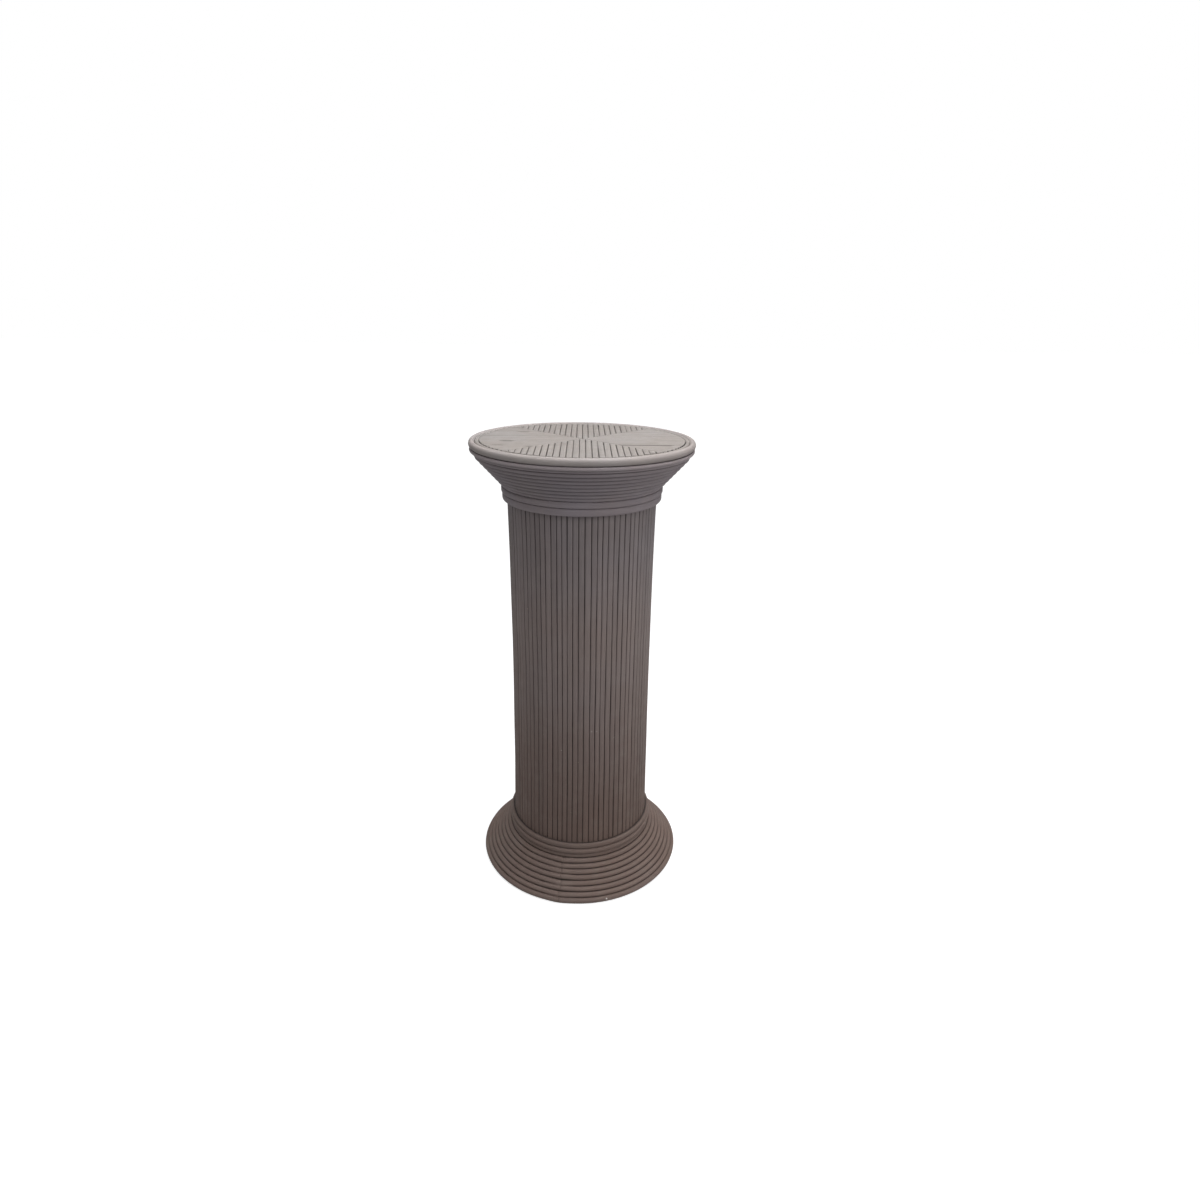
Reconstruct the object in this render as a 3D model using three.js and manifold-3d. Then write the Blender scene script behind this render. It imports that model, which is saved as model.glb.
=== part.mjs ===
// A painted rattan column: an upright-reed shaft, a flared base and capital of stacked reed
// rings, and a round top laid with reeds in four mitred fields.
// Millimetres, +Z up, origin at the middle of the underside; the front faces -Y.
import * as THREE from "three";
import { mergeVertices } from "three/addons/utils/BufferGeometryUtils.js";
import Module from "manifold-3d";

// Overall sizes
const columnHeight = 811;
const topRadius = 189;
const footprintRadius = 191;
const baseHeight = 89.5;
const capitalHeight = 100.5;

// Shaft: radius over the reeds at its foot, halfway up and at its neck
const shaftFootRadius = 130.2;
const shaftWaistRadius = 126;
const shaftNeckRadius = 127.9;
const shaftReedWidth = 9.9;
const shaftGrooveDepth = 2.6;
const shaftGrooveWidth = 3.6;

// Rings of the flares, and the reeds at the top edge by their diameter
const baseRings = 9;
const capitalRings = 8;
const closingReed = 5.4;
const collarReed = 6.2;
const rimHeight = 12.4;
const rimWidth = 10.2;
const borderReed = 7.2;

// Neck rings, two at each end: split reeds with their flat side on the shaft. Their heights, how
// far the first one's crown stands out from the shaft, and how much further the second one does
const baseNeckReed = 10.6;
const baseNeckStandsOut = 6.6;
const capitalLipReed = 12.8;
const capitalNeckReed = 10.4;
const capitalNeckStandsOut = 7.8;
const neckStepOut = 1.6;

// How far out from the shaft each flare begins, and how far the collar sits inside the rim
const baseFlareStart = 2;
const capitalFlareStart = 5.4;
const collarInset = 1.5;

// Reeds of the top
const topReedWidth = 9.8;
const topReedThickness = 5;
const topGrooveDepth = 1.8;
const topGrooveWidth = 3;
const rimStandsProud = 1.2;

// Room left between pieces that touch, and the sides that stand for a circle
const clearance = 0.3;
const circleSides = 24;

const paint = {
  shaft: new THREE.MeshStandardMaterial({ color: 0x8d837c, roughness: 0.75, metalness: 0 }),
  rings: new THREE.MeshStandardMaterial({ color: 0x90867e, roughness: 0.75, metalness: 0 }),
  top: new THREE.MeshStandardMaterial({ color: 0x9c938b, roughness: 0.7, metalness: 0 }),
};

const wasm = await Module();
wasm.setup();

// A closed geometry as a solid that can be joined and cut.
function solidFrom(geometry) {
  const bare = geometry.clone();
  bare.deleteAttribute("normal");
  bare.deleteAttribute("uv");
  const merged = mergeVertices(bare, 1e-3);
  return new wasm.Manifold(
    new wasm.Mesh({
      numProp: 3,
      vertProperties: merged.attributes.position.array,
      triVerts: new Uint32Array(merged.index.array),
    }),
  );
}

function geometryFrom(solid) {
  const mesh = solid.getMesh();
  const geometry = new THREE.BufferGeometry();
  geometry.setAttribute("position", new THREE.BufferAttribute(mesh.vertProperties, 3));
  geometry.setIndex(new THREE.BufferAttribute(mesh.triVerts, 1));
  return geometry;
}

function piece(name, geometry, material) {
  const mesh = new THREE.Mesh(geometry, material);
  mesh.name = name;
  return mesh;
}

// Turns a closed profile of [radius, height] points round the column's axis.
function turned(profile) {
  const points = profile.map(([radius, height]) => new THREE.Vector2(radius, height));
  const geometry = new THREE.LatheGeometry(points, circleSides);
  geometry.rotateX(Math.PI / 2);
  return geometry;
}

// Sections of a reed, as [across the row of reeds, out from what it lies on]
const roundSection = [
  [-1, 0],
  [0, -1],
  [1, 0],
  [0.5, 1],
  [-0.5, 1],
];
const splitSection = [
  [-1, 0],
  [1, 0],
  [1, 0.4],
  [0.5, 1],
  [-0.5, 1],
  [-1, 0.4],
];
const rimSection = [
  [-1, -0.4],
  [-0.4, -1],
  [0.4, -1],
  [1, -0.4],
  [1, 0.4],
  [0.4, 1],
  [-0.4, 1],
  [-1, 0.4],
];

// A hoop of reed. `at` is where its section's zero point is and `facing` is the way its crown
// looks, both as [radius, height]; the section is `half` wide to each side and `depth` out.
function hoop(name, section, { at, facing, half, depth }, material) {
  const [outR, outZ] = facing;
  const profile = section.map(([across, out]) => [
    at[0] + half * across * outZ + depth * out * outR,
    at[1] - half * across * outR + depth * out * outZ,
  ]);
  profile.push(profile[0]);
  return piece(name, turned(profile), material);
}

// The split rings at one end of the shaft, from `start` on; `up` is 1 at the capital, -1 at the
// base. Their flat backs stay outside the shaft, also where their many sides cut in.
function neck(shaftRadius, start, up, reeds, standsOut) {
  const backRadius = (shaftRadius + clearance) / Math.cos(Math.PI / circleSides);
  let edge = start;
  const rings = reeds.map((height, i) => {
    const half = height / 2;
    const crownRadius = shaftRadius + standsOut + i * neckStepOut;
    const at = [backRadius, edge + up * half];
    edge += up * (height + clearance);
    return { at, facing: [1, 0], half, depth: crownRadius - backRadius };
  });
  return { rings, end: edge - up * clearance };
}

// A straight flare of touching round reeds, as thick as their number makes them. For reeds of a
// given radius, `ends` gives the middles of the first reed and of what the flare runs up to, and
// `room` the part of that length that is taken by other things.
function flare(count, ends, room) {
  const lengthFor = (half) => {
    const [first, last] = ends(half);
    return Math.hypot(last[0] - first[0], last[1] - first[1]);
  };
  let half = 0;
  for (let pass = 0; pass < 20; pass++) {
    half = ((lengthFor(half) - room(half)) / (count - 1) - clearance) / 2;
  }
  const pitch = 2 * half + clearance;
  const length = lengthFor(half);
  const [first, last] = ends(half);
  const along = [(last[0] - first[0]) / length, (last[1] - first[1]) / length];
  const facing = [Math.abs(along[1]), -Math.sign(along[1]) * along[0]];
  const rings = [];
  for (let i = 0; i < count; i++) {
    const at = [first[0] + along[0] * pitch * i, first[1] + along[1] * pitch * i];
    rings.push({ at, facing, half, depth: half });
  }
  return { rings, along, facing, half };
}

const column = new THREE.Group();

function addRings(name, section, rings) {
  rings.forEach((ring, i) => column.add(hoop(`${name}_${i + 1}`, section, ring, paint.rings)));
}

// Base: the neck rings round the foot of the shaft, then the flare down to the floor
const baseNeckHeights = [baseNeckReed, baseNeckReed];
const baseNeck = neck(shaftFootRadius, baseHeight, -1, baseNeckHeights, baseNeckStandsOut);
const baseFlare = flare(
  baseRings,
  (half) => [
    [shaftFootRadius + baseFlareStart, baseNeck.end - clearance - half],
    [footprintRadius - half, half],
  ],
  () => 0,
);
addRings("base_neck_ring", splitSection, baseNeck.rings);
addRings("base_ring", roundSection, baseFlare.rings);

// Top edge: the thick rim reed, with the collar reed under it
const rim = {
  at: [topRadius - rimWidth / 2, columnHeight - rimHeight / 2],
  facing: [0, 1],
  half: rimWidth / 2,
  depth: rimHeight / 2,
};
const collarHalf = collarReed / 2;
const collar = {
  at: [topRadius - collarInset - collarHalf, columnHeight - rimHeight - clearance - collarHalf],
  facing: [1, 0],
  half: collarHalf,
  depth: collarHalf,
};
column.add(
  hoop("top_rim_ring", rimSection, rim, paint.rings),
  hoop("capital_collar_ring", roundSection, collar, paint.rings),
);

// Capital: the neck rings, the flare, and a slim reed that closes the row under the collar
const capitalFoot = columnHeight - capitalHeight;
const capitalNeckHeights = [capitalLipReed, capitalNeckReed];
const capitalNeck = neck(shaftNeckRadius, capitalFoot, 1, capitalNeckHeights, capitalNeckStandsOut);
const closingToCollar = closingReed / 2 + clearance + collarHalf;
const capitalFlare = flare(
  capitalRings,
  (half) => [[shaftNeckRadius + capitalFlareStart, capitalNeck.end + clearance + half], collar.at],
  (half) => half + clearance + closingReed / 2 + closingToCollar,
);
const closing = {
  at: collar.at.map((value, i) => value - capitalFlare.along[i] * closingToCollar),
  facing: capitalFlare.facing,
  half: closingReed / 2,
  depth: closingReed / 2,
};
addRings("capital_neck_ring", splitSection, capitalNeck.rings);
addRings("capital_ring", roundSection, capitalFlare.rings);
column.add(hoop("capital_closing_ring", roundSection, closing, paint.rings));

// Shaft: upright reeds from behind the last neck ring of the base to that of the capital
const reedsLow = baseNeck.end;
const reedsHigh = capitalNeck.end;

function shaftRadiusAt(height) {
  const along = (2 * (height - reedsLow)) / (reedsHigh - reedsLow) - 1;
  const lean = ((shaftNeckRadius - shaftFootRadius) / 2) * along;
  const belly = ((shaftNeckRadius + shaftFootRadius) / 2 - shaftWaistRadius) * along ** 2;
  return shaftWaistRadius + lean + belly;
}

function reededShaft() {
  const count = Math.round((2 * Math.PI * shaftWaistRadius) / shaftReedWidth);
  const halfGroove = shaftGrooveWidth / 2 / shaftWaistRadius;
  const grooveRadius = 1 - shaftGrooveDepth / shaftWaistRadius;
  const outline = [];
  for (let i = 0; i < count; i++) {
    const groove = ((i + 0.5) / count) * 2 * Math.PI;
    for (const [angle, radius] of [
      [groove - halfGroove, 1],
      [groove, grooveRadius],
      [groove + halfGroove, 1],
    ]) {
      outline.push(new THREE.Vector2(radius * Math.sin(angle), -radius * Math.cos(angle)));
    }
  }
  const geometry = new THREE.ExtrudeGeometry(new THREE.Shape(outline), {
    depth: reedsHigh - reedsLow,
    steps: 2,
    bevelEnabled: false,
  });
  geometry.translate(0, 0, reedsLow);
  const place = geometry.attributes.position;
  for (let i = 0; i < place.count; i++) {
    const radius = shaftRadiusAt(place.getZ(i));
    place.setXY(i, place.getX(i) * radius, place.getY(i) * radius);
  }
  return geometry;
}

// The carcass behind the reeds: a closed drum that flares behind the rings at both ends. The seat
// at its top carries the reeds of the top.
const reedsUnderside = columnHeight - rimStandsProud - topReedThickness;

// The point at a given radius on the line that runs just behind a flare's reeds.
function behind({ rings, along, facing, half }, radius) {
  const start = rings[0].at.map((value, i) => value - facing[i] * (half + clearance));
  return [radius, start[1] + ((radius - start[0]) * along[1]) / along[0]];
}

function carcass() {
  const drumRadius = Math.min(shaftFootRadius, shaftWaistRadius, shaftNeckRadius) - 2 * shaftGrooveDepth;
  const footRadius = footprintRadius - 2 * baseFlare.half - clearance;
  const seatRadius = topRadius - rimWidth - clearance;
  const seatHeight = reedsUnderside - clearance;
  return turned([
    [0, 0],
    [footRadius, 0],
    behind(baseFlare, footRadius),
    behind(baseFlare, drumRadius),
    behind(capitalFlare, drumRadius),
    behind(capitalFlare, seatRadius),
    [seatRadius, seatHeight],
    [0, seatHeight],
  ]);
}

const shaft = solidFrom(carcass()).add(solidFrom(reededShaft()));
column.add(piece("shaft", geometryFrom(shaft), paint.shaft));

// Top border: a split reed laid flat on the seat, inside the rim
const border = {
  at: [topRadius - rimWidth - clearance - borderReed / 2, reedsUnderside],
  facing: [0, 1],
  half: borderReed / 2,
  depth: topReedThickness,
};
column.add(hoop("top_border_ring", splitSection, border, paint.top));

// The reeds of the top lie in four fields inside the border, mitred along the diagonals.
const fieldRadius = border.at[0] - border.half - clearance;

// The ends of a row of reeds laid side by side; `shift` slides the row by a share of a reed.
function rowSection(shift) {
  const count = Math.ceil(fieldRadius / topReedWidth) + 1;
  const halfFlat = (topReedWidth - topGrooveWidth) / 2;
  const section = new THREE.Shape();
  section.moveTo((-count - 1) * topReedWidth, 0);
  for (let i = -count; i <= count; i++) {
    const middle = (i + shift) * topReedWidth;
    section.lineTo(middle - topReedWidth / 2, topReedThickness - topGrooveDepth);
    section.lineTo(middle - halfFlat, topReedThickness);
    section.lineTo(middle + halfFlat, topReedThickness);
  }
  section.lineTo((count + 1) * topReedWidth, 0);
  return section;
}

// The front quarter of the plane, as far as the fields reach.
function frontQuarter() {
  const mitre = clearance * Math.SQRT1_2;
  return new THREE.Shape([
    new THREE.Vector2(0, -mitre),
    new THREE.Vector2(-fieldRadius, -mitre - fieldRadius),
    new THREE.Vector2(fieldRadius, -mitre - fieldRadius),
  ]);
}

// One field of straight reeds, made as the front one and turned to its place.
function reedField(name, turn, shift) {
  const row = new THREE.ExtrudeGeometry(rowSection(shift), { depth: fieldRadius, bevelEnabled: false });
  row.rotateX(Math.PI / 2);
  const quarter = new THREE.ExtrudeGeometry(frontQuarter(), {
    depth: topReedThickness,
    bevelEnabled: false,
  });
  const disc = turned([
    [0, 0],
    [fieldRadius, 0],
    [fieldRadius, topReedThickness],
    [0, topReedThickness],
  ]);
  const field = solidFrom(row).intersect(solidFrom(quarter)).intersect(solidFrom(disc));
  const geometry = geometryFrom(field);
  geometry.rotateZ(turn);
  geometry.translate(0, 0, reedsUnderside);
  return piece(name, geometry, paint.top);
}

column.add(
  reedField("top_reeds_front", 0, 0),
  reedField("top_reeds_right", Math.PI / 2, 0),
  reedField("top_reeds_back", Math.PI, 0.5),
  reedField("top_reeds_left", -Math.PI / 2, 0),
);

export default column;
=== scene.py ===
import math
import random

import bmesh
import bpy
from mathutils import Matrix, Vector


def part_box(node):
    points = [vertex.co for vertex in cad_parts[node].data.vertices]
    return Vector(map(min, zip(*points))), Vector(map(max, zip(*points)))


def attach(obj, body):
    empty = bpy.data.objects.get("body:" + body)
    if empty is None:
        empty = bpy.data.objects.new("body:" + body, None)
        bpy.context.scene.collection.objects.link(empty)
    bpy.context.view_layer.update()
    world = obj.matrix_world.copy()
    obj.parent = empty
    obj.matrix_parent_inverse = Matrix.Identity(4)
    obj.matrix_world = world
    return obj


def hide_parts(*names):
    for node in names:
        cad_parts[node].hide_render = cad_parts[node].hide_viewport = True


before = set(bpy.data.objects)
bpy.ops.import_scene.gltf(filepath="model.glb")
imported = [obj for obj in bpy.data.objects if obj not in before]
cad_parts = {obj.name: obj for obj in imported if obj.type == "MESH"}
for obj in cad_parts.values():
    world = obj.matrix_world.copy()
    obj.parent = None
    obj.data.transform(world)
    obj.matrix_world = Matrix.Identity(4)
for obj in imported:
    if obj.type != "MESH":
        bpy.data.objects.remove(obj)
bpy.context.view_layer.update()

# The carcass: a light hollow drum of board that nobody sees from the front, flared at both ends to
# carry the rings, with a seat for the top reeds and a flat foot board. Glued up, turned true and
# painted with the rest.
CLEARANCE = 0.0003
CARCASS_SIDES = 96
DRUM_INSIDE_REEDS = 0.0052
FOOT_RADIUS = 0.1806
FOOT_EDGE = 0.0015
SEAT_RADIUS = 0.1784
SHAFT_STATIONS = 12
SHAFT_FOOT_RADIUS = 0.1302
SHAFT_WAIST_RADIUS = 0.126
SHAFT_NECK_RADIUS = 0.1279
CARCASS_SMOOTH = math.radians(30)
ON_THE_FLOOR = 1e-5
# The five corners of a round reed's section in the CAD rings, as (across the row, out from it)
CAD_SECTION = ((-1, 0), (0, -1), (1, 0), (0.5, 1), (-0.5, 1))

reeds_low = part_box("base_neck_ring_2")[0].z
reeds_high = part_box("capital_neck_ring_2")[1].z
seat_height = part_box("top_border_ring")[0].z - CLEARANCE


def shaft_radius(height):
    """The shaft's radius over its reeds: slightly waisted, and wider at the foot than at the
    neck."""
    along = 2 * (height - reeds_low) / (reeds_high - reeds_low) - 1
    lean = (SHAFT_NECK_RADIUS - SHAFT_FOOT_RADIUS) / 2 * along
    belly = ((SHAFT_NECK_RADIUS + SHAFT_FOOT_RADIUS) / 2 - SHAFT_WAIST_RADIUS) * along**2
    return SHAFT_WAIST_RADIUS + lean + belly


def section_reach(facing):
    """How far out, up and down the CAD section of a ring reaches, in halves of its thickness."""
    outwards = [across * facing.y + out * facing.x for across, out in CAD_SECTION]
    upwards = [out * facing.y - across * facing.x for across, out in CAD_SECTION]
    return max(outwards), max(upwards), min(upwards)


def flare_of(prefix, count):
    """Where a flare's round reeds run: the middle of each as (radius, height), half their
    thickness, the direction of the row and the way its crowns face."""
    boxes = [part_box(f"{prefix}_{i + 1}") for i in range(count)]
    first, last = boxes[0][1], boxes[-1][1]
    step = Vector((last.x - first.x, last.z - first.z)) / (count - 1)
    half = (step.length - CLEARANCE) / 2
    along = step.normalized()
    facing = Vector((abs(along.y), -math.copysign(along.x, along.y)))
    widest, highest, _ = section_reach(facing)
    start = Vector((first.x - half * widest, first.z - half * highest))
    return [start + step * i for i in range(count)], half, along, facing


base_row, base_half, base_along, base_facing = flare_of("base_ring", 9)
capital_row, capital_half, capital_along, capital_facing = flare_of("capital_ring", 8)


def behind(row, half, along, facing, radius):
    """The height at a radius on the line just behind a flare's reeds."""
    start = row[0] - facing * (half + CLEARANCE)
    return start.y + (radius - start.x) * along.y / along.x


def new_piece(name):
    """Names the primitive that was just added, and puts its place into its mesh."""
    piece = bpy.context.object
    piece.name = name
    piece.data.name = name
    bpy.ops.object.transform_apply(location=True, rotation=True, scale=True)
    return piece


def pick(piece, kind, chosen):
    """In edit mode, selects the points, edges or faces that pass a test."""
    bpy.ops.mesh.select_all(action="DESELECT")
    bpy.ops.mesh.select_mode(type=kind)
    shape = bmesh.from_edit_mesh(piece.data)
    parts = {"VERT": shape.verts, "EDGE": shape.edges, "FACE": shape.faces}[kind]
    for part in parts:
        part.select_set(chosen(part))
    shape.select_flush_mode()
    bmesh.update_edit_mesh(piece.data)


def drum_radius(height):
    """The radius of the drum that the shaft's reeds are laid on."""
    return shaft_radius(height) - DRUM_INSIDE_REEDS


base_meet = behind(base_row, base_half, base_along, base_facing, drum_radius(reeds_low))
capital_meet = behind(
    capital_row, capital_half, capital_along, capital_facing, drum_radius(reeds_high)
)
carcass_profile = [
    (FOOT_RADIUS, behind(base_row, base_half, base_along, base_facing, FOOT_RADIUS)),
    (drum_radius(base_meet), base_meet),
]
for i in range(1, SHAFT_STATIONS):
    height = base_meet + (capital_meet - base_meet) * i / SHAFT_STATIONS
    carcass_profile.append((drum_radius(height), height))
carcass_profile += [
    (drum_radius(capital_meet), capital_meet),
    (
        SEAT_RADIUS,
        behind(capital_row, capital_half, capital_along, capital_facing, SEAT_RADIUS),
    ),
    (SEAT_RADIUS, seat_height),
]

bpy.ops.object.select_all(action="DESELECT")
bpy.ops.mesh.primitive_circle_add(
    vertices=CARCASS_SIDES, radius=FOOT_RADIUS, fill_type="NGON", calc_uvs=False
)
carcass = new_piece("shaft_carcass")
bpy.ops.object.mode_set(mode="EDIT")
bpy.ops.mesh.select_all(action="SELECT")
last_radius, last_height = FOOT_RADIUS, 0
for radius, height in carcass_profile:
    bpy.ops.mesh.extrude_region_move(
        TRANSFORM_OT_translate={"value": (0, 0, height - last_height)}
    )
    growth = radius / last_radius
    bpy.ops.transform.resize(value=(growth, growth, 1), center_override=(0, 0, height))
    last_radius, last_height = radius, height
bpy.ops.mesh.select_all(action="SELECT")
bpy.ops.mesh.normals_make_consistent(inside=False)
pick(carcass, "EDGE", lambda edge: all(v.co.z < ON_THE_FLOOR for v in edge.verts))
bpy.ops.mesh.bevel(offset=FOOT_EDGE, segments=2)
bpy.ops.object.mode_set(mode="OBJECT")
bpy.ops.object.shade_smooth_by_angle(angle=CARCASS_SMOOTH)


def link(tree, source, target):
    tree.links.new(source, target)


def node(tree, kind, **settings):
    """A new node with its settings; those that name a socket set that socket's value."""
    made = tree.nodes.new(kind)
    for name, value in settings.items():
        if name in made.inputs:
            made.inputs[name].default_value = value
        else:
            setattr(made, name, value)
    return made


def noise(tree, where, scale=1.0, detail=2.0, roughness=0.5):
    """A noise pattern on a piece's own coordinates, or on a map of it."""
    made = node(tree, "ShaderNodeTexNoise", Scale=scale, Detail=detail, Roughness=roughness)
    link(tree, where, made.inputs["Vector"])
    return made.outputs["Fac"]


def stretched(tree, where, scale):
    """Coordinates scaled by their own amount along each axis."""
    made = node(tree, "ShaderNodeMapping", Scale=scale)
    link(tree, where, made.inputs["Vector"])
    return made.outputs["Vector"]


def between(tree, value, low, high, to_low=0.0, to_high=1.0):
    """A value's place between low and high, eased, and put between two others."""
    made = node(tree, "ShaderNodeMapRange", interpolation_type="SMOOTHSTEP")
    for name, number in (
        ("From Min", low),
        ("From Max", high),
        ("To Min", to_low),
        ("To Max", to_high),
    ):
        made.inputs[name].default_value = number
    link(tree, value, made.inputs["Value"])
    return made.outputs["Result"]


def mixed(tree, factor, first, second, blend="MIX"):
    """Two colours mixed; the factor and the colours are sockets or plain values."""
    made = node(tree, "ShaderNodeMix", data_type="RGBA", blend_type=blend)
    for socket, value in (
        (made.inputs[0], factor),
        (made.inputs[6], first),
        (made.inputs[7], second),
    ):
        if isinstance(value, bpy.types.NodeSocket):
            link(tree, value, socket)
        else:
            socket.default_value = value
    return made.outputs[2]


def calculated(tree, operation, first, second):
    """A sum or product; first and second are sockets or plain values."""
    made = node(tree, "ShaderNodeMath", operation=operation)
    for socket, value in zip(made.inputs, (first, second)):
        if isinstance(value, bpy.types.NodeSocket):
            link(tree, value, socket)
        else:
            socket.default_value = value
    return made.outputs["Value"]


def bumped(tree, height, distance, strength, under=None):
    """A fine relief, laid over the one under it."""
    made = node(tree, "ShaderNodeBump", Strength=strength, Distance=distance)
    link(tree, height, made.inputs["Height"])
    if under is not None:
        link(tree, under, made.inputs["Normal"])
    return made.outputs["Normal"]


# Board under the same paint: brushed flat, with a faint wood grain and rubbed where it has stood.
BOARD_GRAIN = (420, 18, 60)
BOARD_SCUFFS = (30, 90, 30)
BOARD_DARK = (0.150, 0.128, 0.113, 1)
BOARD_PALE = (0.196, 0.171, 0.153, 1)
BOARD_RUBBED = (0.27, 0.22, 0.17, 1)

board_paint = bpy.data.materials.new("painted_board")
board_paint.use_nodes = True
tree = board_paint.node_tree
shader = tree.nodes["Principled BSDF"]
shader.inputs["Specular IOR Level"].default_value = 0.3
place = node(tree, "ShaderNodeTexCoord").outputs["Object"]
grain = noise(tree, stretched(tree, place, BOARD_GRAIN), detail=4)
patches = noise(tree, place, scale=14, detail=3)
scuffs = noise(tree, stretched(tree, place, BOARD_SCUFFS), detail=5)
scuffs = between(tree, scuffs, low=0.6, high=0.72, to_high=0.5)
colour = mixed(tree, patches, BOARD_DARK, BOARD_PALE)
colour = mixed(tree, scuffs, colour, BOARD_RUBBED)
rough = between(tree, patches, low=0.3, high=0.7, to_low=0.7, to_high=0.82)
link(tree, colour, shader.inputs["Base Color"])
link(tree, rough, shader.inputs["Roughness"])
link(tree, bumped(tree, grain, distance=0.0004, strength=0.35), shader.inputs["Normal"])
carcass.data.materials.append(board_paint)

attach(carcass, "root")
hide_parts("shaft")

# The shaft's upright reeds: eighty pencil reeds flattened at the back, pinned and glued side by
# side round the drum and painted over. They were cut by eye, so their widths differ a little and
# they sway between the neck rings.
REEDS_ROUND = 80
REED_THICK = 0.0058
REED_GAP = 0.0006
REED_SHOULDER = 0.0029
REED_STEPS = 26
REED_WIDTH_SPREAD = 0.055
REED_NARROWEST, REED_WIDEST = 0.86, 1.14
REED_LIFT_SPREAD = 0.00015
REED_SWAY = 0.0003
# Each reed's own waves: from and to which share of its sway, and radians along a metre of it
REED_WAVES = (((0.4, 1), (7, 16)), ((0.1, 0.4), (20, 40)))
# Where a wave may start, in radians
ANY_START = (0, 6.3)
SHOULDER_SEGMENTS = 5
SHOULDER_SQUARENESS = 0.68
# How far below a reed's face the painted shade of its groove begins and is full
GROOVE_STARTS, GROOVE_ENDS = 0.0004, 0.0014
FIBRE_START = (0, 5)
HAND_SWAY = 0.0022
# How neighbours wander together, by direction: the size of a wave in metres, and its kind
WANDER = {"X": (0.17, "ORIGINAL_PERLIN"), "Y": (0.15, "IMPROVED_PERLIN")}
SMOOTH_ANGLE = math.radians(50)

random.seed(80)


def share_of(value, low, high):
    """How far a value is from low to high, from 0 to 1."""
    return min(1, max(0, (value - low) / (high - low)))


def lay_fibres(piece, place, tone):
    """Writes where each point lies on its reed: a map in metres, u across and v along, how far it
    is down the groove beside the reed, from 0 to 1, which the paint turns to painted shade, and
    the reed's own tone. place gives (u, v, groove, turn), where u goes round once in a turn."""
    mesh = piece.data
    spots = [place(vertex.co) for vertex in mesh.vertices]
    layer = mesh.uv_layers.new(name="fibres")
    start = Vector((random.uniform(*FIBRE_START), random.uniform(*FIBRE_START)))
    for polygon in mesh.polygons:
        first = spots[polygon.vertices[0]][0]
        for corner in polygon.loop_indices:
            u, v, _, turn = spots[mesh.loops[corner].vertex_index]
            if turn:
                u -= turn * round((u - first) / turn)
            layer.data[corner].uv = (start.x + u, start.y + v)
    groove = mesh.attributes.new("groove", "FLOAT", "POINT")
    own = mesh.attributes.new("tone", "FLOAT", "POINT")
    for i, (_, _, down, _) in enumerate(spots):
        groove.data[i].value = down
        own.data[i].value = tone


def hand_laid(piece, sway):
    """Lets a piece wander slightly, with its neighbours, as reeds laid by hand do."""
    bpy.context.view_layer.objects.active = piece
    for direction, (size, kind) in WANDER.items():
        name = f"sway_{direction}"
        texture = bpy.data.textures.get(name)
        if texture is None:
            texture = bpy.data.textures.new(name, "CLOUDS")
            texture.noise_scale = size
            texture.noise_basis = kind
            texture.noise_depth = 1
        modifier = piece.modifiers.new(name, "DISPLACE")
        modifier.texture = texture
        modifier.texture_coords = "GLOBAL"
        modifier.direction = direction
        modifier.strength = sway
        modifier.mid_level = 0.5
        bpy.ops.object.modifier_apply(modifier=modifier.name)


# One reed, made at the front: its lower end drawn up in steps along the shaft's waisted line
reed_width = 2 * math.pi * SHAFT_WAIST_RADIUS / REEDS_ROUND
bpy.ops.object.select_all(action="DESELECT")
bpy.ops.mesh.primitive_plane_add(size=1, calc_uvs=False)
bpy.context.object.scale = (reed_width - REED_GAP, REED_THICK, 1)
bpy.context.object.location = (0, REED_THICK / 2 - shaft_radius(reeds_low), reeds_low)
model_reed = new_piece("model_reed")
bpy.ops.object.mode_set(mode="EDIT")
bpy.ops.mesh.select_all(action="SELECT")
last_radius, last_height = shaft_radius(reeds_low), reeds_low
bpy.ops.transform.resize(
    value=(last_radius / SHAFT_WAIST_RADIUS, 1, 1), center_override=(0, 0, 0)
)
for i in range(1, REED_STEPS + 1):
    height = reeds_low + (reeds_high - reeds_low) * i / REED_STEPS
    radius = shaft_radius(height)
    bpy.ops.mesh.extrude_region_move(
        TRANSFORM_OT_translate={"value": (0, last_radius - radius, height - last_height)}
    )
    bpy.ops.transform.resize(value=(radius / last_radius, 1, 1), center_override=(0, 0, 0))
    last_radius, last_height = radius, height
bpy.ops.mesh.select_all(action="SELECT")
bpy.ops.mesh.normals_make_consistent(inside=False)
pick(
    model_reed,
    "EDGE",
    lambda edge: abs(edge.verts[0].co.z - edge.verts[1].co.z) > REED_GAP
    and all(-v.co.y > shaft_radius(v.co.z) - REED_THICK / 2 for v in edge.verts),
)
bpy.ops.mesh.bevel(offset=REED_SHOULDER, segments=SHOULDER_SEGMENTS, profile=SHOULDER_SQUARENESS)
bpy.ops.object.mode_set(mode="OBJECT")

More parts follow.
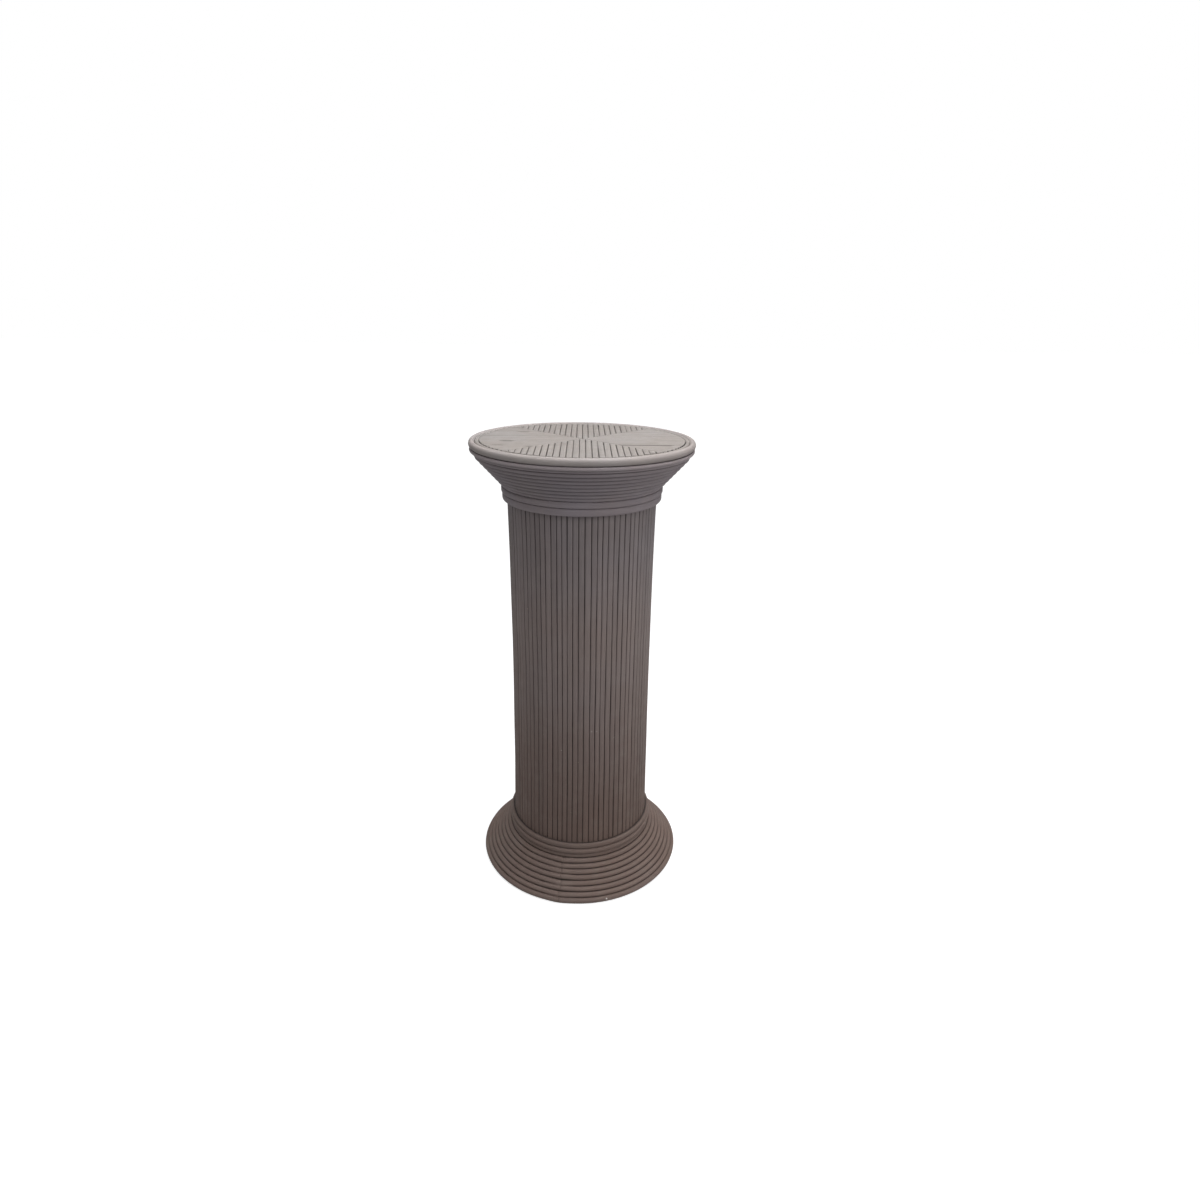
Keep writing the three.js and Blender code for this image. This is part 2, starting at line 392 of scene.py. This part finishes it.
# Its copies, each a little wider or narrower, prouder or deeper, and swaying on its own
widths = [
    min(REED_WIDEST, max(REED_NARROWEST, random.gauss(1, REED_WIDTH_SPREAD)))
    for _ in range(REEDS_ROUND)
]
share = 2 * math.pi / sum(widths)
copies = []
edge_angle = -widths[0] * share / 2
for width in widths:
    copy = model_reed.copy()
    copy.data = model_reed.data.copy()
    bpy.context.scene.collection.objects.link(copy)
    lift = random.gauss(0, REED_LIFT_SPREAD)
    waves = [
        (random.uniform(*sizes) * REED_SWAY, random.uniform(*turns), random.uniform(*ANY_START))
        for sizes, turns in REED_WAVES
    ]
    widen = width * share * REEDS_ROUND / (2 * math.pi)
    for vertex in copy.data.vertices:
        sway = sum(size * math.sin(turn * vertex.co.z + start) for size, turn, start in waves)
        vertex.co.x = vertex.co.x * widen + sway
        vertex.co.y -= lift
    lay_fibres(
        copy,
        lambda co, lift=lift: (
            co.x,
            co.z,
            share_of(shaft_radius(co.z) + lift + co.y, GROOVE_STARTS, GROOVE_ENDS),
            0,
        ),
        random.gauss(0, 1),
    )
    angle = edge_angle + width * share / 2
    edge_angle += width * share
    copy.data.transform(Matrix.Rotation(angle, 4, "Z"))
    copies.append(copy)
bpy.data.objects.remove(model_reed)
bpy.ops.object.select_all(action="DESELECT")
for copy in copies:
    copy.select_set(True)
bpy.context.view_layer.objects.active = copies[0]
bpy.ops.object.join()
shaft_reeds = bpy.context.object
shaft_reeds.name = shaft_reeds.data.name = "shaft_reeds"
hand_laid(shaft_reeds, HAND_SWAY)
bpy.ops.object.shade_smooth_by_angle(angle=SMOOTH_ANGLE)


# The paint on the reeds: what shows in it besides its own colour, and how often in a metre the
# fibres, the brush's strokes and the chips repeat across a reed and along it
MOTTLED = (0.97, 0.94, 0.91, 1)
DUST = (0.33, 0.30, 0.27, 1)
BARE_REED = (0.40, 0.34, 0.27, 1)
PALE_KNOCK = (0.80, 0.76, 0.72, 1)
# Painted shade: the near black that the paint turns to down in the grooves, where shade falls
PAINTED_GROOVE_SHADE = (0.022, 0.017, 0.016, 1)
FIBRES = (1900, 16, 1)
STROKES = (420, 9, 1)
CHIPS = (330, 170, 1)
CHIP_EDGE = 0.03


def reed_paint(name, heights, spread, dust, worn, flecks=()):
    """Matte paint brushed on over reed: mottled, each reed with its own shade, fibres that show
    through lengthwise, painted shade, near black, down in the grooves and a few rubbed or chipped
    specks. heights are (height, colour) from the foot up: painted shade makes the paint darker and
    browner low down, and painted light makes it paler under the rim. spread is how far reeds
    differ, dust how much lies on them, and worn how rare the chips are. flecks are (place, radius,
    strength) of single pale knocks."""
    material = bpy.data.materials.new(name)
    material.use_nodes = True
    tree = material.node_tree
    shader = tree.nodes["Principled BSDF"]
    shader.inputs["Specular IOR Level"].default_value = 0.32
    place = node(tree, "ShaderNodeTexCoord").outputs["Object"]
    fibre_map = node(tree, "ShaderNodeUVMap", uv_map="fibres").outputs["UV"]
    groove = node(tree, "ShaderNodeAttribute", attribute_name="groove").outputs["Fac"]
    tone = node(tree, "ShaderNodeAttribute", attribute_name="tone").outputs["Fac"]

    patches = noise(tree, place, scale=7, detail=4, roughness=0.55)
    patches = between(tree, patches, low=0.35, high=0.65)
    fibres = noise(tree, stretched(tree, fibre_map, FIBRES), detail=3, roughness=0.6)
    strokes = noise(tree, stretched(tree, fibre_map, STROKES), detail=2, roughness=0.5)
    grit = noise(tree, place, scale=900, detail=2, roughness=0.6)

    height = node(tree, "ShaderNodeSeparateXYZ")
    link(tree, place, height.inputs[0])
    # Painted shade and light: the colour changes with height, darker and browner towards the foot
    # and paler under the rim
    colour = heights[0][1]
    for (below, _), (above, tint) in zip(heights, heights[1:]):
        colour = mixed(tree, between(tree, height.outputs["Z"], below, above), colour, tint)
    colour = mixed(tree, patches, colour, MOTTLED, "MULTIPLY")
    brushed = between(tree, strokes, low=0.25, high=0.75, to_low=0.93, to_high=1.07)
    veined = between(tree, fibres, low=0.25, high=0.75, to_low=0.95, to_high=1.05)
    shade = calculated(tree, "MULTIPLY", tone, spread)
    shade = calculated(tree, "ADD", shade, brushed)
    shade = calculated(tree, "MULTIPLY", shade, veined)
    colour = mixed(tree, 1.0, colour, shade, "MULTIPLY")
    film = noise(tree, place, scale=26, detail=5, roughness=0.7)
    film = between(tree, film, low=0.45, high=0.75, to_high=dust)
    colour = mixed(tree, film, colour, DUST)
    chips = noise(tree, stretched(tree, fibre_map, CHIPS), detail=1, roughness=0.4)
    chips = between(tree, chips, low=worn, high=worn + CHIP_EDGE, to_high=0.6)
    colour = mixed(tree, chips, colour, BARE_REED)
    for spot, radius, strength in flecks:
        away = node(tree, "ShaderNodeVectorMath", operation="DISTANCE")
        link(tree, place, away.inputs[0])
        away.inputs[1].default_value = spot
        from_it = away.outputs["Value"]
        knock = between(tree, from_it, low=radius / 2, high=radius, to_low=strength, to_high=0.0)
        colour = mixed(tree, knock, colour, PALE_KNOCK)
    # Painted shade: down in the grooves, and under the rim, the paint is darkened towards near
    # black
    groove_shade = between(tree, groove, low=0.1, high=1.0, to_high=0.85)
    colour = mixed(tree, groove_shade, colour, PAINTED_GROOVE_SHADE)
    link(tree, colour, shader.inputs["Base Color"])

    rough = noise(tree, place, scale=60, detail=4, roughness=0.6)
    rough = between(tree, rough, low=0.3, high=0.7, to_low=0.56, to_high=0.72)
    link(tree, rough, shader.inputs["Roughness"])
    normal = bumped(tree, strokes, distance=0.0005, strength=0.35)
    normal = bumped(tree, fibres, distance=0.00022, strength=0.4, under=normal)
    normal = bumped(tree, grit, distance=0.00009, strength=0.4, under=normal)
    link(tree, normal, shader.inputs["Normal"])
    return material


# Painted shade: the shaft's paint is darker and browner towards its foot
shaft_paint = reed_paint(
    "painted_upright_reed",
    (
        (0.10, (0.149, 0.105, 0.090, 1)),
        (0.50, (0.211, 0.174, 0.168, 1)),
        (0.70, (0.198, 0.174, 0.180, 1)),
    ),
    spread=0.035,
    dust=0.10,
    worn=0.80,
    flecks=(
        ((-0.0336, -0.1222, 0.2824), 0.0015, 0.2),
        ((0.0190, -0.1249, 0.3227), 0.0022, 0.12),
        ((0.0278, -0.1233, 0.3218), 0.0018, 0.12),
        ((0.0602, -0.1113, 0.3024), 0.0018, 0.15),
    ),
)
shaft_reeds.data.materials.append(shaft_paint)
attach(shaft_reeds, "root")
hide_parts("shaft")

# The rings of the base: long round reeds soaked and bent into hoops, pinned to the flared carcass
# one against the next, with their ends butted in one line a little left of the front.
RING_STEPS = 176
SECTION_POINTS = 16
SPLIT_ROUNDING = 0.78
DEEPEST_ROUNDING = 0.9
BASE_JOINT = math.radians(-12)
ROW_JOINT_SPREAD = 0.006
JOINT_GAP = 0.0003
JOINT_ROUNDING = 0.0005
JOINT_REACH = 0.034
# Glue and paint fill the grooves for a little way before each joint, so their painted shade is
# lighter there
JOINT_FILLED = 0.6
FILL_REACH = 0.024
RING_SWAY = 0.0014
# How far the ends of each base ring stand out at the joint, and by how much they pass each other
BASE_ENDS = (
    (0.0004, 0.0002),
    (0.0034, -0.0012),
    (0.0012, 0.0006),
    (0.0006, 0.0003),
    (0.0009, -0.0005),
    (0.0017, 0.0007),
    (0.0005, -0.0003),
    (0.0011, 0.0005),
    (0.0007, 0.0004),
)
# How far round from its crown a reed's section is open to view, and over what angle beyond that
# it turns down into the groove, where the paint is darkened as painted shade. The lowest reed is
# open further down, round a middle of its own.
OPEN_REACH = math.radians(54)
GROOVE_TURN = math.radians(20)
LOWEST_SEEN = (math.radians(20), math.radians(80))

# Painted shade and light: darker and browner towards the foot, and paler on the collar under the
# rim, where light is caught
ring_paint = reed_paint(
    "painted_bent_reed",
    (
        (0.10, (0.182, 0.134, 0.117, 1)),
        (0.70, (0.232, 0.204, 0.222, 1)),
        (0.786, (0.232, 0.204, 0.222, 1)),
        (0.793, (0.285, 0.251, 0.268, 1)),
    ),
    spread=0.035,
    dust=0.12,
    worn=0.80,
    flecks=(((0.0492, -0.1834, 0.0072), 0.0019, 0.9),),
)


def round_section(name, half, depth):
    """A round or oval reed's end, facing +X, half wide in Z and depth out in X."""
    bpy.ops.mesh.primitive_circle_add(
        vertices=SECTION_POINTS,
        radius=half,
        fill_type="NGON",
        rotation=(math.pi / 2, 0, 0),
        calc_uvs=False,
    )
    bpy.context.object.scale.x = depth / half
    return new_piece(name)


def split_section(name, half, depth, rounding=SPLIT_ROUNDING):
    """A split reed's end: flat behind, with its two outer corners rounded over by a share of half
    its width."""
    bpy.ops.mesh.primitive_plane_add(size=1, rotation=(math.pi / 2, 0, 0), calc_uvs=False)
    bpy.context.object.scale = (depth, 2 * half, 1)
    bpy.context.object.location.x = depth / 2
    piece = new_piece(name)
    bpy.ops.object.mode_set(mode="EDIT")
    pick(piece, "VERT", lambda vertex: vertex.co.x > depth / 2)
    bpy.ops.mesh.bevel(
        offset=min(half * rounding, depth * DEEPEST_ROUNDING),
        segments=7,
        profile=0.5,
        affect="VERTICES",
    )
    bpy.ops.object.mode_set(mode="OBJECT")
    return piece


def bent_reed(
    name,
    node_name,
    section,
    middle,
    half,
    depth,
    facing,
    joint,
    spring,
    step=0,
    seen=(0, OPEN_REACH),
):
    """A reed bent into a hoop. middle is (radius, height) of its section's zero point, facing the
    way its crown looks; it is half wide to each side and depth out. Its two ends meet at the angle
    joint, stand out there by spring, and pass each other by step. seen is the middle and reach of
    the angle round the section, from its crown, that is open and not down in a groove; beyond it
    the paint is darkened as painted shade."""
    bpy.ops.object.select_all(action="DESELECT")
    piece = section(name, half, depth)
    tilt = math.atan2(facing[1], facing[0])
    piece.data.transform(
        Matrix.Translation((middle[0], 0, middle[1])) @ Matrix.Rotation(-tilt, 4, "Y")
    )
    bpy.ops.object.mode_set(mode="EDIT")
    bpy.ops.mesh.select_all(action="SELECT")
    sweep = 2 * math.pi - JOINT_GAP / middle[0]
    bpy.ops.mesh.spin(steps=RING_STEPS, angle=sweep, center=(0, 0, 0), axis=(0, 0, 1))
    bpy.ops.mesh.select_all(action="SELECT")
    bpy.ops.mesh.normals_make_consistent(inside=False)
    # The reed's two ends are its only faces with more than four corners
    pick(piece, "EDGE", lambda edge: any(len(face.verts) > 4 for face in edge.link_faces))
    bpy.ops.mesh.bevel(offset=JOINT_ROUNDING, segments=2)
    pick(
        piece,
        "VERT",
        lambda vertex: vertex.co.x > 0 and abs(vertex.co.y) < JOINT_ROUNDING,
    )
    bpy.ops.transform.translate(
        value=(spring, 0, 0),
        use_proportional_edit=True,
        proportional_edit_falloff="SHARP",
        proportional_size=JOINT_REACH,
    )
    if step:
        pick(piece, "VERT", lambda vertex: vertex.co.x > 0 and 0 < vertex.co.y < JOINT_ROUNDING)
        bpy.ops.transform.translate(
            value=(step * facing[1], 0, -step * facing[0]),
            use_proportional_edit=True,
            use_proportional_connected=True,
            proportional_edit_falloff="SMOOTH",
            proportional_size=JOINT_REACH,
        )
    bpy.ops.object.mode_set(mode="OBJECT")
    piece.data.transform(Matrix.Rotation(joint - math.pi / 2, 4, "Z"))

    def place(co):
        radius = math.hypot(co.x, co.y)
        out = (radius - middle[0]) * facing[0] + (co.z - middle[1]) * facing[1]
        across = (radius - middle[0]) * facing[1] - (co.z - middle[1]) * facing[0]
        turned = math.atan2(across / half, out / depth)
        azimuth = (math.atan2(co.x, -co.y) - joint) % (2 * math.pi)
        # Painted shade: past the open angle the paint darkens into the groove, less so near the
        # joint
        down = share_of(abs(turned - seen[0]), seen[1], seen[1] + GROOVE_TURN)
        past = (2 * math.pi - azimuth) * middle[0]
        down *= 1 - JOINT_FILLED * (1 - share_of(past, FILL_REACH / 2, FILL_REACH))
        return turned * half, azimuth * middle[0], down, 2 * math.pi * half

    lay_fibres(piece, place, random.gauss(0, 1))
    hand_laid(piece, RING_SWAY)
    bpy.ops.object.shade_smooth_by_angle(angle=SMOOTH_ANGLE)
    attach(piece, "root")
    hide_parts(node_name)
    return piece


def ring_row(prefix, row, half, facing, joint, ends):
    """A flare's rings. ends gives how far each one's ends stand out and pass each other."""
    thick = half + CLEARANCE / 2
    for i, (middle, (spring, step)) in enumerate(zip(row, ends)):
        ring = bent_reed(
            f"{prefix}_{i + 1}_reed",
            f"{prefix}_{i + 1}",
            round_section,
            middle=(middle.x, max(middle.y, thick)),
            half=thick,
            depth=thick,
            facing=facing,
            joint=joint + random.gauss(0, ROW_JOINT_SPREAD),
            spring=spring,
            step=step,
            seen=LOWEST_SEEN if middle.y < thick + CLEARANCE else (0, OPEN_REACH),
        )
        ring.data.materials.append(ring_paint)


ring_row("base_ring", base_row, base_half, base_facing, BASE_JOINT, BASE_ENDS)

# The neck rings: split reeds, flat side to the shaft, bent round over the ends of the upright
# reeds, two at the foot and two at the neck. Their joints are turned to the back.
NECK_JOINT = math.radians(172)
SINGLE_JOINT_SPREAD = 0.01
NECK_SPRING = 0.0003
NECK_INTO_SHAFT = 0.001
BASE_NECK_ROUNDING, CAPITAL_NECK_ROUNDING = 0.86, 0.6


def neck_ring(node_name, shaft_at, rounding):
    """A split reed round the shaft where its CAD ring is, with its corners rounded over."""
    low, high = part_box(node_name)
    back = shaft_radius(shaft_at) - NECK_INTO_SHAFT
    ring = bent_reed(
        f"{node_name}_reed",
        node_name,
        lambda name, half, depth: split_section(name, half, depth, rounding),
        middle=(back, (low.z + high.z) / 2),
        half=(high.z - low.z + CLEARANCE) / 2,
        depth=high.x - back,
        facing=(1, 0),
        joint=NECK_JOINT + random.gauss(0, SINGLE_JOINT_SPREAD),
        spring=NECK_SPRING,
    )
    ring.data.materials.append(ring_paint)


for node_name in ("base_neck_ring_1", "base_neck_ring_2"):
    neck_ring(node_name, reeds_low, BASE_NECK_ROUNDING)
for node_name in ("capital_neck_ring_1", "capital_neck_ring_2"):
    neck_ring(node_name, reeds_high, CAPITAL_NECK_ROUNDING)

# The rings of the capital: the same round reeds stepping outwards up the flare, then a slim reed
# that closes the row and a slim collar under the rim.
CAPITAL_JOINT = math.radians(176)
CAPITAL_SPRINGS = (0.0001, 0.0005)
SLIM_SPRING = 0.0002

capital_ends = [(random.uniform(*CAPITAL_SPRINGS), 0)] * len(capital_row)
ring_row("capital_ring", capital_row, capital_half, capital_facing, CAPITAL_JOINT, capital_ends)

for node_name in ("capital_closing_ring", "capital_collar_ring"):
    low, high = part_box(node_name)
    if node_name == "capital_closing_ring":
        facing = capital_facing
        widest, highest, lowest = section_reach(facing)
        half = (high.z - low.z) / (highest - lowest)
        middle = (high.x - half * widest, high.z - half * highest)
    else:
        facing = (1, 0)
        half = (high.z - low.z) / 2
        middle = (high.x - half, low.z + half)
    ring = bent_reed(
        f"{node_name}_reed",
        node_name,
        round_section,
        middle=middle,
        half=half + CLEARANCE / 2,
        depth=half + CLEARANCE / 2,
        facing=facing,
        joint=CAPITAL_JOINT + random.gauss(0, SINGLE_JOINT_SPREAD),
        spring=SLIM_SPRING,
    )
    ring.data.materials.append(ring_paint)

# The top reeds: straight flattened reeds laid side by side on the seat in four fields, mitred
# where the fields meet along the diagonals and trimmed to the border. Front and back fields run
# front to back, the side fields from left to right.
FIELD_REED = 0.0098
FIELD_REED_GAP = 0.0005
FIELD_SHOULDER = 0.0017
FIELD_STEPS = 16
# How far below a top reed's face the painted shade of its groove begins and is full
FIELD_GROOVE_STARTS, FIELD_GROOVE_ENDS = 0.0004, 0.0015
FIELD_LIFT_SPREAD = 0.00012
FIELD_WIDTH_SPREAD = 0.05 / 3
FIELD_WIDEST = 1.02
FIELD_BOW = 0.00018
FIELD_BOW_TURN = 22
END_GAP = 0.0006
END_GAP_SHARE = (0.1, 1)
END_SLANT = 0.4
# Seams that have opened, as (across the field, from and to along it, how far), each with the edge
# of its reed nearer the front sunk by twice that
RIGHT_SEAMS = ((-0.0539, 0.052, 0.139, 0.0006),)
LEFT_SEAMS = (
    (0.0245, 0.108, 0.134, 0.0005),
    (-0.0735, 0.088, 0.116, 0.0003),
    (0.0735, 0.070, 0.096, 0.0004),
    (0.0637, 0.118, 0.142, 0.0004),
)
MITRE_GAP = 0.0003
EDGE_ROUNDING = 0.00035
# A reed that the saw leaves with fewer points than a block is gone
FEWEST_POINTS = 8

field_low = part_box("top_border_ring")[0].z
field_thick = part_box("top_border_ring")[1].z - field_low
field_radius = -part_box("top_reeds_front")[0].y

top_paint = reed_paint(
    "painted_top_reed",
    ((0, (0.248, 0.230, 0.221, 1)),),
    spread=0.02,
    dust=0.2,
    worn=0.79,
)

bpy.ops.object.select_all(action="DESELECT")
bpy.ops.mesh.primitive_plane_add(size=1, rotation=(math.pi / 2, 0, 0), calc_uvs=False)
bpy.context.object.scale = (FIELD_REED - FIELD_REED_GAP, field_thick, 1)
bpy.context.object.location = (0, 0, field_low + field_thick / 2)
model_top_reed = new_piece("model_top_reed")
bpy.ops.object.mode_set(mode="EDIT")
bpy.ops.mesh.select_all(action="SELECT")
for _ in range(FIELD_STEPS):
    bpy.ops.mesh.extrude_region_move(
        TRANSFORM_OT_translate={"value": (0, -field_radius / FIELD_STEPS, 0)}
    )
bpy.ops.mesh.select_all(action="SELECT")
bpy.ops.mesh.normals_make_consistent(inside=False)
field_middle = field_low + field_thick / 2
pick(
    model_top_reed,
    "EDGE",
    lambda edge: abs(edge.verts[0].co.y - edge.verts[1].co.y) > FIELD_REED_GAP
    and all(v.co.z > field_middle for v in edge.verts),
)
bpy.ops.mesh.bevel(offset=FIELD_SHOULDER, segments=3, profile=0.5)
bpy.ops.object.mode_set(mode="OBJECT")


def trim(piece, point, outwards):
    """Saws a reed off square to a direction, and closes the cut."""
    bpy.ops.object.select_all(action="DESELECT")
    piece.select_set(True)
    bpy.context.view_layer.objects.active = piece
    bpy.ops.object.mode_set(mode="EDIT")
    bpy.ops.mesh.select_all(action="SELECT")
    bpy.ops.mesh.bisect(
        plane_co=point, plane_no=outwards, clear_outer=True, use_fill=True, threshold=1e-6
    )
    bpy.ops.object.mode_set(mode="OBJECT")


def reed_field(side, turn, shift, seams=()):
    """One field, laid as the front one and turned to its side; shift slides it by a share of a
    reed, and seams are those that have opened."""
    reach = field_radius * math.sin(math.pi / 4)
    count = math.ceil(reach / FIELD_REED)
    row = []
    for i in range(-count, count + 1):
        x = (i + shift) * FIELD_REED
        if abs(x) - FIELD_REED / 2 > reach:
            continue
        copy = model_top_reed.copy()
        copy.data = model_top_reed.data.copy()
        bpy.context.scene.collection.objects.link(copy)
        lift = -abs(random.gauss(0, FIELD_LIFT_SPREAD))
        widen = min(FIELD_WIDEST, random.gauss(1, FIELD_WIDTH_SPREAD))
        bow, start = random.gauss(0, FIELD_BOW), random.uniform(*ANY_START)
        for vertex in copy.data.vertices:
            sway = bow * math.sin(FIELD_BOW_TURN * vertex.co.y + start)
            vertex.co.x = vertex.co.x * widen + x + sway
            if vertex.co.z > field_middle:
                vertex.co.z += lift
        top = field_low + field_thick + lift
        lay_fibres(
            copy,
            lambda co: (
                co.x,
                co.y,
                share_of(top - co.z, FIELD_GROOVE_STARTS, FIELD_GROOVE_ENDS),
                0,
            ),
            random.gauss(0, 1),
        )
        for seam, begins, ends, wide in seams:
            if abs(abs(x - seam) - FIELD_REED / 2) > FIELD_REED / 10:
                continue
            for vertex in copy.data.vertices:
                if begins < -vertex.co.y < ends and abs(vertex.co.x - seam) < FIELD_REED / 4:
                    vertex.co.x += math.copysign(wide, x - seam)
                    if vertex.co.z > field_middle and (x - seam) * math.sin(turn) < 0:
                        vertex.co.z -= 2 * wide
        mitre = MITRE_GAP / 2 + random.uniform(0, MITRE_GAP)
        for hand in (-1, 1):
            if hand * x > -FIELD_REED:
                trim(copy, (0, -mitre, 0), (hand, 1, 0))
        corner = math.copysign(min(abs(x) + FIELD_REED / 2, reach), x)
        depth = math.sqrt(field_radius**2 - corner**2) - random.uniform(*END_GAP_SHARE) * END_GAP
        trim(copy, (corner, -depth, 0), (corner * END_SLANT, -depth, 0))
        if len(copy.data.vertices) < FEWEST_POINTS:
            bpy.data.objects.remove(copy)
            continue
        row.append(copy)
    bpy.ops.object.select_all(action="DESELECT")
    for copy in row:
        copy.select_set(True)
    bpy.context.view_layer.objects.active = row[0]
    bpy.ops.object.join()
    field = bpy.context.object
    field.name = field.data.name = f"top_reeds_{side}_laid"
    edges = field.modifiers.new("edges", "BEVEL")
    edges.width = EDGE_ROUNDING
    edges.segments = 2
    edges.limit_method = "ANGLE"
    edges.angle_limit = SMOOTH_ANGLE
    bpy.ops.object.modifier_apply(modifier="edges")
    field.data.transform(Matrix.Rotation(turn, 4, "Z"))
    bpy.ops.object.shade_smooth_by_angle(angle=SMOOTH_ANGLE)
    field.data.materials.append(top_paint)
    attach(field, "root")
    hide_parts(f"top_reeds_{side}")


reed_field("front", 0, 0)
reed_field("right", math.pi / 2, 0, RIGHT_SEAMS)
reed_field("back", math.pi, 0.5)
reed_field("left", -math.pi / 2, 0, LEFT_SEAMS)
bpy.data.objects.remove(model_top_reed)

# The border: one split reed bent flat round the four fields, and outside it the thick rim reed
# that finishes the edge of the top.
TOP_JOINT = math.radians(168)
RIM_JOINT = TOP_JOINT + 0.05
TOP_SPRING = 0.0002
RIM_INSET = 0.0003
# The rim's open angle is turned up and out, so its underside and inner side are darkened as
# painted shade
RIM_SEEN = (math.radians(45), math.radians(112))

low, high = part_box("top_border_ring")
border_half = (high.x - field_radius - CLEARANCE) / 2
border = bent_reed(
    "top_border_ring_reed",
    "top_border_ring",
    split_section,
    middle=(high.x - border_half, low.z),
    half=border_half,
    depth=high.z - low.z,
    facing=(0, 1),
    joint=TOP_JOINT,
    spring=TOP_SPRING,
)
border.data.materials.append(top_paint)

low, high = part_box("top_rim_ring")
rim_half = (high.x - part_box("top_border_ring")[1].x - CLEARANCE) / 2
rim_depth = (high.z - low.z) / 2
rim = bent_reed(
    "top_rim_ring_reed",
    "top_rim_ring",
    round_section,
    middle=(high.x - rim_half - RIM_INSET, high.z - rim_depth),
    half=rim_half,
    depth=rim_depth,
    facing=(0, 1),
    joint=RIM_JOINT,
    spring=TOP_SPRING,
    seen=RIM_SEEN,
)
# Painted light: the rim's paint is lighter than the top's, for the highlight along its crown
lit_rim_paint = reed_paint(
    "painted_rim_reed",
    ((0, (0.310, 0.283, 0.280, 1)),),
    spread=0.02,
    dust=0.2,
    worn=0.79,
)
rim.data.materials.append(lit_rim_paint)

# The setting: a plain pale floor, soft light mostly from overhead, and the camera where the
# photograph was taken from.
FLOOR_DARK = (0.60, 0.60, 0.60, 1)
FLOOR_PALE = (0.62, 0.62, 0.62, 1)
# The floor casts less light back than its look would, so that the column's foot stays dark
FLOOR_CAST = (0.50, 0.50, 0.50, 1)
FLOOR_GLOW = 0.68
STUDIO_WHITE = (1.0, 1.0, 1.0, 1)
STUDIO_STRENGTH = 0.34

floor_paint = bpy.data.materials.new("pale_floor")
floor_paint.use_nodes = True
tree = floor_paint.node_tree
shader = tree.nodes["Principled BSDF"]
shader.inputs["Roughness"].default_value = 0.9
shader.inputs["Specular IOR Level"].default_value = 0.1
place = node(tree, "ShaderNodeTexCoord").outputs["Object"]
shown = mixed(tree, noise(tree, place, scale=3, detail=3), FLOOR_DARK, FLOOR_PALE)
straight = node(tree, "ShaderNodeLightPath").outputs["Is Camera Ray"]
link(tree, mixed(tree, straight, FLOOR_CAST, shown), shader.inputs["Base Color"])
# A glow that only the camera sees keeps the floor pale up to the backdrop
shader.inputs["Emission Color"].default_value = STUDIO_WHITE
glow = calculated(tree, "MULTIPLY", straight, FLOOR_GLOW)
link(tree, glow, shader.inputs["Emission Strength"])
bpy.ops.object.select_all(action="DESELECT")
bpy.ops.mesh.primitive_plane_add(size=40)
floor = bpy.context.object
floor.name = "floor"
floor.data.materials.append(floor_paint)

world = bpy.data.worlds.new("studio")
bpy.context.scene.world = world
world.use_nodes = True
background = world.node_tree.nodes["Background"]
background.inputs["Color"].default_value = STUDIO_WHITE
background.inputs["Strength"].default_value = STUDIO_STRENGTH
backdrop = world.node_tree.nodes.new("ShaderNodeBackground")
backdrop.inputs["Color"].default_value = STUDIO_WHITE
straight = world.node_tree.nodes.new("ShaderNodeLightPath").outputs["Is Camera Ray"]
either = world.node_tree.nodes.new("ShaderNodeMixShader")
surface = world.node_tree.nodes["World Output"].inputs["Surface"]
link(world.node_tree, straight, either.inputs["Fac"])
link(world.node_tree, background.outputs["Background"], either.inputs[1])
link(world.node_tree, backdrop.outputs["Background"], either.inputs[2])
link(world.node_tree, either.outputs["Shader"], surface)


def softbox(name, place, aim, size, power):
    """A round white light that faces a point on the column."""
    bpy.ops.object.light_add(type="AREA", location=place)
    lamp = bpy.context.object
    lamp.name = name
    lamp.data.shape = "DISK"
    lamp.data.size = size
    lamp.data.energy = power
    lamp.rotation_euler = (Vector(aim) - Vector(place)).to_track_quat("-Z", "Y").to_euler()


bpy.ops.object.light_add(type="SUN", rotation=(math.radians(-14), math.radians(10), 0))
ceiling = bpy.context.object
ceiling.name = "ceiling"
ceiling.data.energy = 0.94
ceiling.data.angle = math.radians(50)
softbox("overhead", place=(0.1, -0.15, 1.7), aim=(0, 0, 0.8), size=0.9, power=10.6)
softbox("right", place=(2.4, -0.8, 1.2), aim=(0, 0, 0.45), size=1.4, power=13.0)
softbox("front_high", place=(0.25, -1.7, 2.4), aim=(0, 0, 0.6), size=1.2, power=11.6)

bpy.context.scene.view_settings.view_transform = "Standard"

bpy.ops.object.camera_add(
    location=(0, -1.2812, 1.0166),
    rotation=(math.radians(68.8576), math.radians(-0.8394), math.radians(-1.1754)),
)
camera = bpy.context.object
camera.data.sensor_width = 36
camera.data.lens = 22.8
bpy.context.scene.camera = camera
